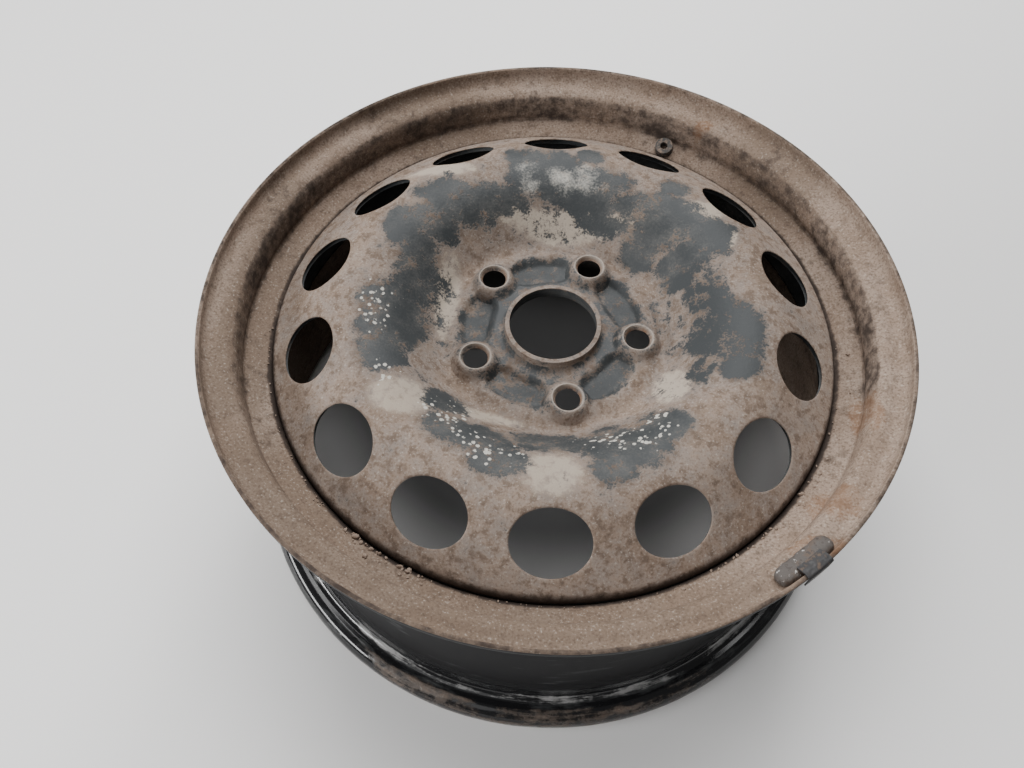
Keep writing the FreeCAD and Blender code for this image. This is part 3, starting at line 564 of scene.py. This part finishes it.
# Painted reflection: a white sheen laid on the top of the dome.
PAINTED_REFLECTION_SHOWS = [(6, 112, 22, 13), (-26, 111, 12, 12)]
# Cream dirt, except the wide oval at (2, 84): painted light that lifts the far flank, which the lamps leave in
# shade.
CREAM_AND_PAINTED_LIGHT_SHOWS = [(6, -119, 17, 14), (-86, -76, 18, 14), (-88, 112, 24, 8), (98, 88, 16, 8), (112, 66, 6, 10),
               (2, 84, 42, 9), (-72, 20, 8, 30), (-40, -72, 24, 6), (76, -44, 10, 16)]
DEEP_SHOWS = [(108, -12, 28, 34), (96, 24, 16, 18)]
THIN_SHOWS = [(0, 82, 60, 16), (-80, 0, 14, 60), (80, 10, 20, 60), (-110, 35, 12, 14)]
HUB_DUST_R, PAD_DUST_R, BOLT_AREA_R = 0.068, 0.07, 0.08
NECK_R, PLATE_R, SEAT_SPILL, SEAT_BAND = 0.046, 0.06, 0.0006, 0.0012
COLLAR_SKIN, BORE_SKIN, BORE_SHADE_Z = 0.0003, 0.0004, MOUNT_Z + 0.0152

disc_points = coordinates(disc)
disc_x, disc_y, disc_z = disc_points.T
disc_r = np.hypot(disc_x, disc_y)
from_bolt = bolt_distance(disc_x, disc_y)
by_bolts = disc_r < BOLT_AREA_R
on_collar = disc_r < COLLAR_R + COLLAR_SKIN
in_bore = (disc_r < COLLAR_R - BORE_SKIN) & (disc_z < BORE_SHADE_Z)
outer_face = np.where(on_collar, 1, above(disc_z, face_height(disc_x, disc_y) - 0.002, 0.001))
pads = below(pad_distance(disc_x, disc_y), PAD_HALF_WIDTH + 0.0007, 0.004) * (disc_r < PAD_DUST_R)
bosses = below(from_bolt, BOSS_FOOT_R - 0.001, 0.004)
neck = below(disc_r, NECK_R, 0.004)
plate_dust = 0.48 + 0.4 * above(disc_r, PLATE_R, 0.007)
hub_dust = giving_way(giving_way(giving_way(plate_dust, 0.4, neck), 0.3, pads), 0.6, bosses)
dome_dust = 1 - np.maximum(0.86 * soft_spots(disc_points, PAINT_SHOWS),
                           0.36 * soft_spots(disc_points, THIN_SHOWS))
dust = np.select([in_bore, on_collar, disc_r < HUB_DUST_R], [0.0, 0.75, hub_dust], dome_dust)
paint_attribute(disc, "dust", dust * outer_face)
disc_shows = {"chalk": CHALK_SHOWS, "painted_reflection": PAINTED_REFLECTION_SHOWS, "deep": DEEP_SHOWS, "cream_and_painted_light": CREAM_AND_PAINTED_LIGHT_SHOWS}
for name, shows in disc_shows.items():
    paint_attribute(disc, name, soft_spots(disc_points, shows) * outer_face)
seats = below(from_bolt, SEAT_EDGE_R + SEAT_SPILL, SEAT_BAND)
seat_edges = below(np.abs(from_bolt - SEAT_EDGE_R), SEAT_BAND, SEAT_BAND)
paint_attribute(disc, "seat", seats * by_bolts)
paint_attribute(disc, "seat_edge", seat_edges * by_bolts * outer_face)
paint_attribute(disc, "neck", neck)
# Painted shade: the skirt and the knuckle over the groove are darkened, over some dirt.
paint_attribute(disc, "grime_and_shade", above(disc_r, VENT_OUTER_R, 0.006))

BLUE_PAINT = (0.046, 0.05, 0.052, 1)
HAZED_PAINT = (0.094, 0.094, 0.091, 1)
GREY_DIRT = (0.225, 0.19, 0.166, 1)
# Chalk white, for the chalk flecks and for the painted reflection on the dome.
CHALK_AND_REFLECTION_WHITE = (0.52, 0.5, 0.45, 1)
CREAM = (0.44, 0.38, 0.31, 1)
CHALK_FLECK = 0.004

disc_material, tree, surface = shader("disc_dirt_painted_shade_and_light_over_paint")
grain = noise(tree, 0.0014, 3.0)
spots = noise(tree, 0.006, 5.0, 0.65)
patches = noise(tree, 0.02, 5.0, 0.62)
blotches = noise(tree, 0.045, 4.0, 0.6)
held = swung(tree, painted(tree, "dust"), (patches, 2.0), (spots, 1.4), (grain, 0.9))
cover = between(tree, held, 0.26, 0.62)
dirt_and_painted_light = mixed(tree, between(tree, blotches, 0.36, 0.64), DIRT, PALE_DIRT)
dirt_and_painted_light = tinted(tree, dirt_and_painted_light, GREY_DIRT, between(tree, held, 1.3, 0.6), 0.8)
dirt_and_painted_light = tinted(tree, dirt_and_painted_light, BROWN_DIRT, between(tree, patches, 0.5, 0.72), 0.5)
dirt_and_painted_light = tinted(tree, dirt_and_painted_light, DARK_DIRT, between(tree, spots, 0.46, 0.66), 0.75)
dirt_and_painted_light = tinted(tree, dirt_and_painted_light, DARK_DIRT, between(tree, grain, 0.5, 0.7), 0.55)
dirt_and_painted_light = tinted(tree, dirt_and_painted_light, SPECK, between(tree, grain, 0.42, 0.28), 0.6)
# Painted shade: the near-black brown darkens the skirt and knuckle for the shade of the groove.
grime_and_shade_amount = swung(tree, painted(tree, "grime_and_shade"), (spots, 0.8))
dirt_and_painted_light = mixed(tree, between(tree, grime_and_shade_amount, 0.3, 1.0), dirt_and_painted_light, GRIME_AND_SHADE)
# Cream dirt, and painted light on the far flank.
cream_and_light_amount = swung(tree, painted(tree, "cream_and_painted_light"), (spots, 2.2), (grain, 1.0))
dirt_and_painted_light = tinted(tree, dirt_and_painted_light, CREAM, between(tree, cream_and_light_amount, 0.4, 1.1), 0.75)
haze = calc(tree, "SUBTRACT", patches, calc(tree, "MULTIPLY", painted(tree, "deep"), 0.42))
paint = mixed(tree, between(tree, swung(tree, haze, (grain, 0.4)), 0.35, 0.75), BLUE_PAINT, HAZED_PAINT)
colour = mixed(tree, cover, paint, dirt_and_painted_light)
# Painted reflection: a white sheen at the top of the dome.
painted_reflection_amount = swung(tree, painted(tree, "painted_reflection"), (patches, 3.2), (grain, 1.2))
colour = tinted(tree, colour, CHALK_AND_REFLECTION_WHITE, between(tree, painted_reflection_amount, 0.6, 1.9), 0.8)
cells = put(tree, "ShaderNodeTexVoronoi", {"Vector": object_place(tree), "Scale": 1 / CHALK_FLECK})
dotted = calc(tree, "MULTIPLY", painted(tree, "chalk"), between(tree, spots, 0.36, 0.56))
flecks = calc(tree, "SUBTRACT", calc(tree, "MULTIPLY", dotted, 0.4), cells.outputs["Distance"])
colour = mixed(tree, between(tree, flecks, -0.06, 0.06), colour, CHALK_AND_REFLECTION_WHITE)
seat_rust = calc(tree, "MULTIPLY", painted(tree, "seat"), between(tree, spots, 0.3, 0.9))
colour = mixed(tree, seat_rust, colour, RUST)
colour = tinted(tree, colour, SPECK, painted(tree, "seat_edge"), 0.7)
smooth_neck = painted(tree, "neck")
roughness = ranged(tree, cover, ranged(tree, smooth_neck, 0.5, 0.4), 0.9)
relief = swung(tree, calc(tree, "MULTIPLY", cover, 0.35), (spots, 0.7), (grain, 0.3))
relief = calc(tree, "MULTIPLY", relief, ranged(tree, smooth_neck, 1.0, 0.2))
surface.inputs["Specular IOR Level"].default_value = 0.16
finish_surface(tree, surface, colour, roughness, relief, DIRT_RELIEF)
coat(disc, disc_material)

# Weld runs: short fillets of weld metal that hold the disc's skirt in the well.
# They lie under the disc and were painted over in black; rust has started along the ripples.
weld_material, tree, surface = shader("painted_weld")
ripples = noise(tree, 0.003, 3.0)
colour = mixed(tree, between(tree, ripples, 0.5, 0.7), BLACK_PAINT, RUST)
finish_surface(tree, surface, colour, between(tree, ripples, 0.0, 1.2), ripples, 0.001)
coat(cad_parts["weld_beads"], weld_material)

# Valve: a moulded rubber stub, snapped into its hole in the slope of the well.
# It has been cut off short, so its bore is open, and road dust sticks to the rubber.
RUBBER = (0.06, 0.058, 0.056, 1)
FINE_RELIEF = 0.0003
valve_material, tree, surface = shader("dusty_rubber")
specks = noise(tree, 0.002, 4.0)
colour = mixed(tree, between(tree, specks, 0.4, 0.75), RUBBER, DIRT)
finish_surface(tree, surface, colour, between(tree, specks, -1.5, 0.6), specks, FINE_RELIEF)
coat(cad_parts["valve_stub"], valve_material)

# Balance weight: a cast bar with round ends that lies in the gutter of the flange, held there by its clip.
# Its section is a squared oval that leans up against the lip; the ends shrink along the gutter.
WEIGHT_ANGLE, WEIGHT_HALF_SPAN = np.radians((311.6, 5.2))
WEIGHT_R, WEIGHT_Z = FLANGE_R - 0.0082, LIP_TOP - 0.0068
WEIGHT_HALF_WIDTH, WEIGHT_HALF_HEIGHT, WEIGHT_LEAN = 0.0058, 0.0042, 0.35
WEIGHT_SQUARENESS, WEIGHT_ROWS, WEIGHT_SIDES = 0.75, 61, 48


def power(wave, exponent):
    """A sine or cosine raised to a power with its sign kept, for a squared oval."""
    return np.sign(wave) * np.abs(wave) ** exponent


along = np.linspace(-1, 1, WEIGHT_ROWS)[:, None]
girth = np.linspace(0, 2 * np.pi, WEIGHT_SIDES, endpoint=False)
end_taper = (1 - np.abs(along) ** 6) ** (1 / 3)
cast_waves = 1 + 0.03 * np.sin(9 * along + 2 * np.sin(girth)) + 0.02 * np.sin(23 * along + 3 * girth)
across = WEIGHT_HALF_WIDTH * power(np.cos(girth), WEIGHT_SQUARENESS) * end_taper * cast_waves
upright = WEIGHT_HALF_HEIGHT * power(np.sin(girth), WEIGHT_SQUARENESS) * end_taper * cast_waves
bar_r = WEIGHT_R + across * np.cos(WEIGHT_LEAN) - upright * np.sin(WEIGHT_LEAN)
bar_z = WEIGHT_Z + across * np.sin(WEIGHT_LEAN) + upright * np.cos(WEIGHT_LEAN)
bar_angle = WEIGHT_ANGLE + WEIGHT_HALF_SPAN * along
bar = np.stack([bar_r * np.cos(bar_angle), bar_r * np.sin(bar_angle), bar_z], axis=-1)
weight = grid_piece("cast_weight", bar, False, True)
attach(weight, "root")
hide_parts("balance_weight")

WEIGHT_METAL = (0.088, 0.077, 0.07, 1)
BRIGHT_CHIP = (0.5, 0.48, 0.46, 1)
CAST_RELIEF = 0.0006
weight_material, tree, surface = shader("dull_weight")
specks = noise(tree, 0.003, 5.0, 0.65)
blotches = noise(tree, 0.009, 4.0)
colour = mixed(tree, between(tree, blotches, 0.42, 0.6), WEIGHT_METAL, DARK_DIRT)
colour = mixed(tree, between(tree, specks, 0.46, 0.36), colour, GRIME_AND_SHADE)
colour = mixed(tree, between(tree, specks, 0.6, 0.66), colour, BRIGHT_CHIP)
colour = mixed(tree, between(tree, swung(tree, blotches, (specks, 1.0)), 0.68, 0.74), colour, RUST)
finish_surface(tree, surface, colour, between(tree, specks, -0.4, 0.9), specks, CAST_RELIEF)
coat(weight, weight_material)

# Clip: a bent strip of dark spring steel that is driven over the lip and grips it.
# Its inner end lies over the weight and keeps it in the gutter.
CLIP_STEEL = (0.025, 0.024, 0.025, 1)
clip_material, tree, surface = shader("blued_clip")
specks = noise(tree, 0.003, 5.0)
colour = mixed(tree, between(tree, specks, 0.52, 0.7), CLIP_STEEL, DARK_DIRT)
finish_surface(tree, surface, colour, between(tree, specks, -0.3, 1.0), specks, FINE_RELIEF)
coat(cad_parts["balance_weight_clip"], clip_material)

# Crumbs of dried dirt: lumps that lie loose in the groove between disc and rim, thickest on the near left.
# Each is a ball pushed in and out by a wave of its own, so no two are alike.
# A clump is its angle and spread in degrees, how many lumps it has, their size and how far out they reach.
CLUMPS = [(-121.5, 3.0, 16, 0.0013, 0.0016), (-112.5, 3.2, 16, 0.0014, 0.0016), (-95, 40, 70, 0.0005, 0.0016),
          (-150, 20, 24, 0.0005, 0.0016), (-12, 9, 12, 0.0009, 0.004), (-33, 6, 12, 0.0009, 0.004),
          (-48, 8, 16, 0.0008, 0.0016)]
LEDGE_R, LEDGE_Z, LEDGE_RISE = 0.185, 0.1525, 0.35
CRUMB_INNER_R, CRUMB_OUTER_R = 0.1848, 0.197
CRUMB_ROWS, CRUMB_SIDES = 7, 10
rng = np.random.default_rng(16)
crumb_turn = np.concatenate([rng.normal(at, spread, count) for at, spread, count, _, _ in CLUMPS])
crumb_angle = np.radians(crumb_turn)
crumb_size = np.concatenate([rng.uniform(0.5, 1.3, count) * size for _, _, count, size, _ in CLUMPS])
crumb_reach = np.concatenate([rng.exponential(reach, count) for _, _, count, _, reach in CLUMPS])
crumb_r = np.minimum(CRUMB_INNER_R + crumb_reach, CRUMB_OUTER_R)
crumb_z = LEDGE_Z + (crumb_r - LEDGE_R) * LEDGE_RISE + crumb_size * 0.3
centres = np.stack([crumb_r * np.cos(crumb_angle), crumb_r * np.sin(crumb_angle), crumb_z], axis=-1)
tilt = np.linspace(0, np.pi, CRUMB_ROWS)[:, None]
swing = np.linspace(0, 2 * np.pi, CRUMB_SIDES, endpoint=False)
ball = np.stack([np.sin(tilt) * np.cos(swing), np.sin(tilt) * np.sin(swing),
                 np.broadcast_to(np.cos(tilt), (CRUMB_ROWS, CRUMB_SIDES))], axis=-1)
waves = rng.normal(0, 2.2, (len(centres), 3))
shift = rng.uniform(0, 6, (len(centres), 1, 1))
bulge = 1 + 0.3 * np.sin(np.einsum("rck,nk->nrc", ball, waves) + shift)
stretch = rng.uniform(0.6, 1.3, (len(centres), 1, 1, 3)) * crumb_size[:, None, None, None]
lumps = centres[:, None, None, :] + ball * bulge[..., None] * stretch
lump_starts = np.arange(len(centres)) * CRUMB_ROWS * CRUMB_SIDES
lump_faces = np.concatenate([ring_faces(start, CRUMB_ROWS, CRUMB_SIDES) for start in lump_starts])
crumbs = mesh_piece("dirt_crumbs", lumps.reshape(-1, 3), lump_faces)
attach(crumbs, "root")

crumb_material, tree, surface = shader("dried_dirt")
specks = noise(tree, 0.002, 4.0)
colour = mixed(tree, between(tree, specks, 0.35, 0.65), PALE_DIRT, DIRT)
finish_surface(tree, surface, colour, between(tree, specks, -3.0, 0.6), specks, FINE_RELIEF)
coat(crumbs, crumb_material)

# Stage: a plain pale floor with painted shade under the wheel, with an even sky and four soft lamps.
# The widest lamp is overhead on the far side; the low long one draws the shine on the lower flange.
FLOOR_HALF = 4.0
OPEN_FLOOR = (0.92, 0.91, 0.9, 1)
FLOOR_IN_PAINTED_SHADE = (0.75, 0.75, 0.75, 1)
FLOOR_IN_DEEP_PAINTED_SHADE = (0.12, 0.12, 0.12, 1)
SHADE_CENTRE, SHADE_INNER_R, SHADE_OUTER_R = (0, 0.08, 0), 0.155, 0.215
SKY_STRENGTH = 0.14

floor_corners = np.array([(-1, -1, 0), (1, -1, 0), (1, 1, 0), (-1, 1, 0)]) * FLOOR_HALF
floor = mesh_piece("floor", floor_corners, np.array([(0, 1, 2, 3)]))
floor_material, tree, surface = shader("pale_floor")
on_floor = object_place(tree)
from_axis = put(tree, "ShaderNodeVectorMath", {0: on_floor}, operation="LENGTH").outputs["Value"]
# Painted shade: deepest round a point a little to the far side of the axis, lighter towards the well.
from_shade = put(tree, "ShaderNodeVectorMath", {0: on_floor, 1: SHADE_CENTRE}, operation="DISTANCE")
shaded = between(tree, from_shade.outputs["Value"], SHADE_INNER_R, SHADE_OUTER_R)
floor_shade_colour = mixed(tree, shaded, FLOOR_IN_DEEP_PAINTED_SHADE, FLOOR_IN_PAINTED_SHADE)
colour = mixed(tree, between(tree, from_axis, WELL_R, SEAT_R), floor_shade_colour, OPEN_FLOOR)
tree.links.new(colour, surface.inputs["Base Color"])
surface.inputs["Roughness"].default_value = 0.6
coat(floor, floor_material)


def placed(thing, right, upward, back, place):
    """Puts an object that looks along its own -Z at a place, with its axes along right, upward and back."""
    axes = np.eye(4)
    axes[:3] = np.stack([right, upward, back, place], axis=-1)
    thing.matrix_world = Matrix(axes.tolist())
    bpy.context.scene.collection.objects.link(thing)


def soft_lamp(name, place, target, width, height, watts):
    """A wide flat lamp at a place, facing a target, its width level."""
    lamp = bpy.data.lights.new(name, "AREA")
    lamp.shape = "RECTANGLE"
    lamp.size, lamp.size_y = width, height
    lamp.energy = watts
    back = np.array(place) - np.array(target)
    back /= np.linalg.norm(back)
    right = np.cross((0, 0, 1), back)
    right /= np.linalg.norm(right)
    placed(bpy.data.objects.new(name, lamp), right, np.cross(back, right), back, place)


soft_lamp("ceiling", (-0.1, 0.95, 1.9), (0, 0.1, 0.1), 1.7, 1.7, 61)
soft_lamp("far_end", (0.3, 2.2, 1.5), (0, 0, 0.1), 0.5, 0.3, 14)
soft_lamp("doorway", (-1.85, -0.77, 0.85), (-0.15, -0.15, 0.0), 1.7, 0.4, 42)
soft_lamp("near_side", (-0.7, -1.3, 1.7), (-0.1, -0.3, 0.0), 1.2, 1.2, 5)
world = bpy.data.worlds.new("room")
world.use_nodes = True
sky = world.node_tree.nodes["Background"]
sky.inputs["Color"].default_value = (1, 1, 1, 1)
sky.inputs["Strength"].default_value = SKY_STRENGTH
bpy.context.scene.world = world

# Camera: held above the near side of the wheel and looking down at it, as the photograph was taken.
# Its focal length is in pixels of a picture of this width, as it was fitted to the round edges of the wheel.
CAMERA_PLACE = (0, -0.3277, 0.6056)
PITCH, YAW, ROLL = np.radians((57.84, -4.62, 0.596))
SENSOR_WIDTH, FOCAL_PIXELS, PICTURE_WIDTH = 36, 842.36, 1024
forward = np.array([np.sin(YAW) * np.cos(PITCH), np.cos(YAW) * np.cos(PITCH), -np.sin(PITCH)])
level = np.array([np.cos(YAW), -np.sin(YAW), 0])
upward = np.cross(level, forward)
lens = bpy.data.cameras.new("camera")
lens.sensor_width = SENSOR_WIDTH
lens.lens = SENSOR_WIDTH * FOCAL_PIXELS / PICTURE_WIDTH
lens.clip_start = 0.01
camera = bpy.data.objects.new("camera", lens)
placed(camera, np.cos(ROLL) * level + np.sin(ROLL) * upward, np.cos(ROLL) * upward - np.sin(ROLL) * level,
       -forward, CAMERA_PLACE)
bpy.context.scene.camera = camera
